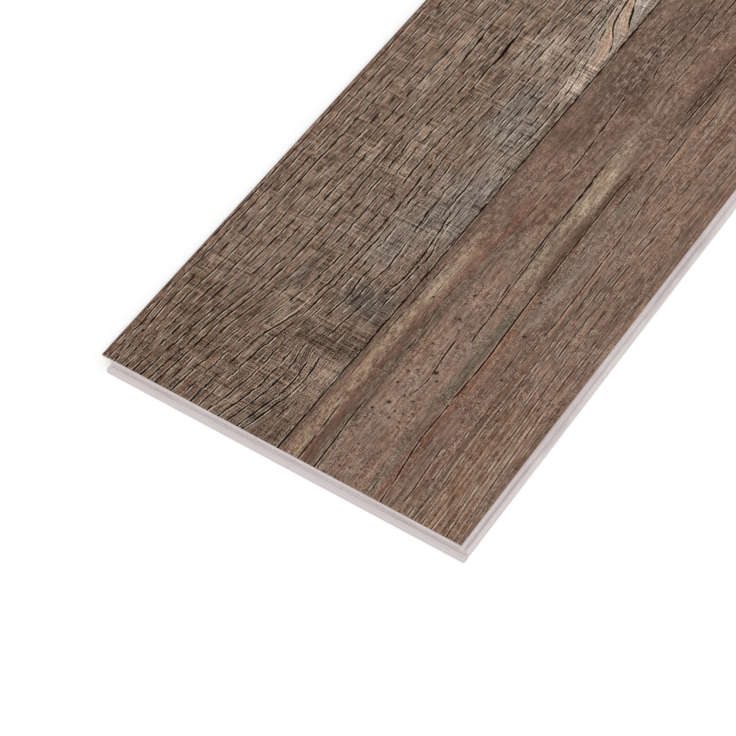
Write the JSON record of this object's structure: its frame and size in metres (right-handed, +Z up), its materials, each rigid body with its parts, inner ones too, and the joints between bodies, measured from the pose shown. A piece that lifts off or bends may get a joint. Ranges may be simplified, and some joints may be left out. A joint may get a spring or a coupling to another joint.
{
  "type": "luxury vinyl plank",
  "caption": "Rigid click-lock vinyl floor plank with a wood-look face, a tongue and a lower lip along its sides, and a hook and a drop edge at its ends.",
  "frame": {"origin": "under the middle of the plank, on the plane that it lies on", "axes": "+X across the width from the tongue side to the lower-lip side, +Y along the length from the hook end to the drop end, +Z up out of the printed face"},
  "size_m": [0.1848, 1.2236, 0.0055],
  "materials": {
    "core": "milled off-white stone-plastic composite, matt",
    "wear_layer": "embossed vinyl over a printed wood-look film, satin"
  },
  "bodies": {
    "root": {"core": "core", "wear_layer": "wear_layer"}
  },
  "joints": []
}
